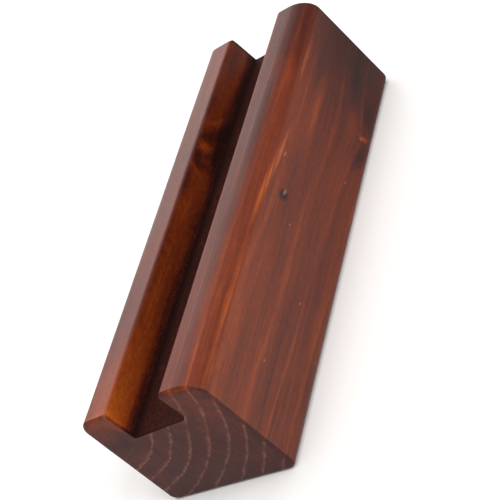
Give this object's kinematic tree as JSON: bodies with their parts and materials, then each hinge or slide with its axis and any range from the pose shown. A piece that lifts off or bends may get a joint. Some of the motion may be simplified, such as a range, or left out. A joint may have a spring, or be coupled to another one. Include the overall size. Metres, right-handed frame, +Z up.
{
  "type": "dip pen holder",
  "caption": "Solid stained-wood desk block with a straight channel along its top, a thin lip in front and a thick nose behind, in which dip pens lie.",
  "frame": {"origin": "centre of the footprint, on the plane that the block stands on", "axes": "+X along the block's length, +Y from the lip to the nose, +Z up out of the channel"},
  "size_m": [0.17, 0.0522, 0.045],
  "materials": {
    "stained_softwood": "dark reddish-brown stain under satin varnish"
  },
  "bodies": {
    "root": {"holder_block": "stained_softwood"}
  },
  "joints": []
}
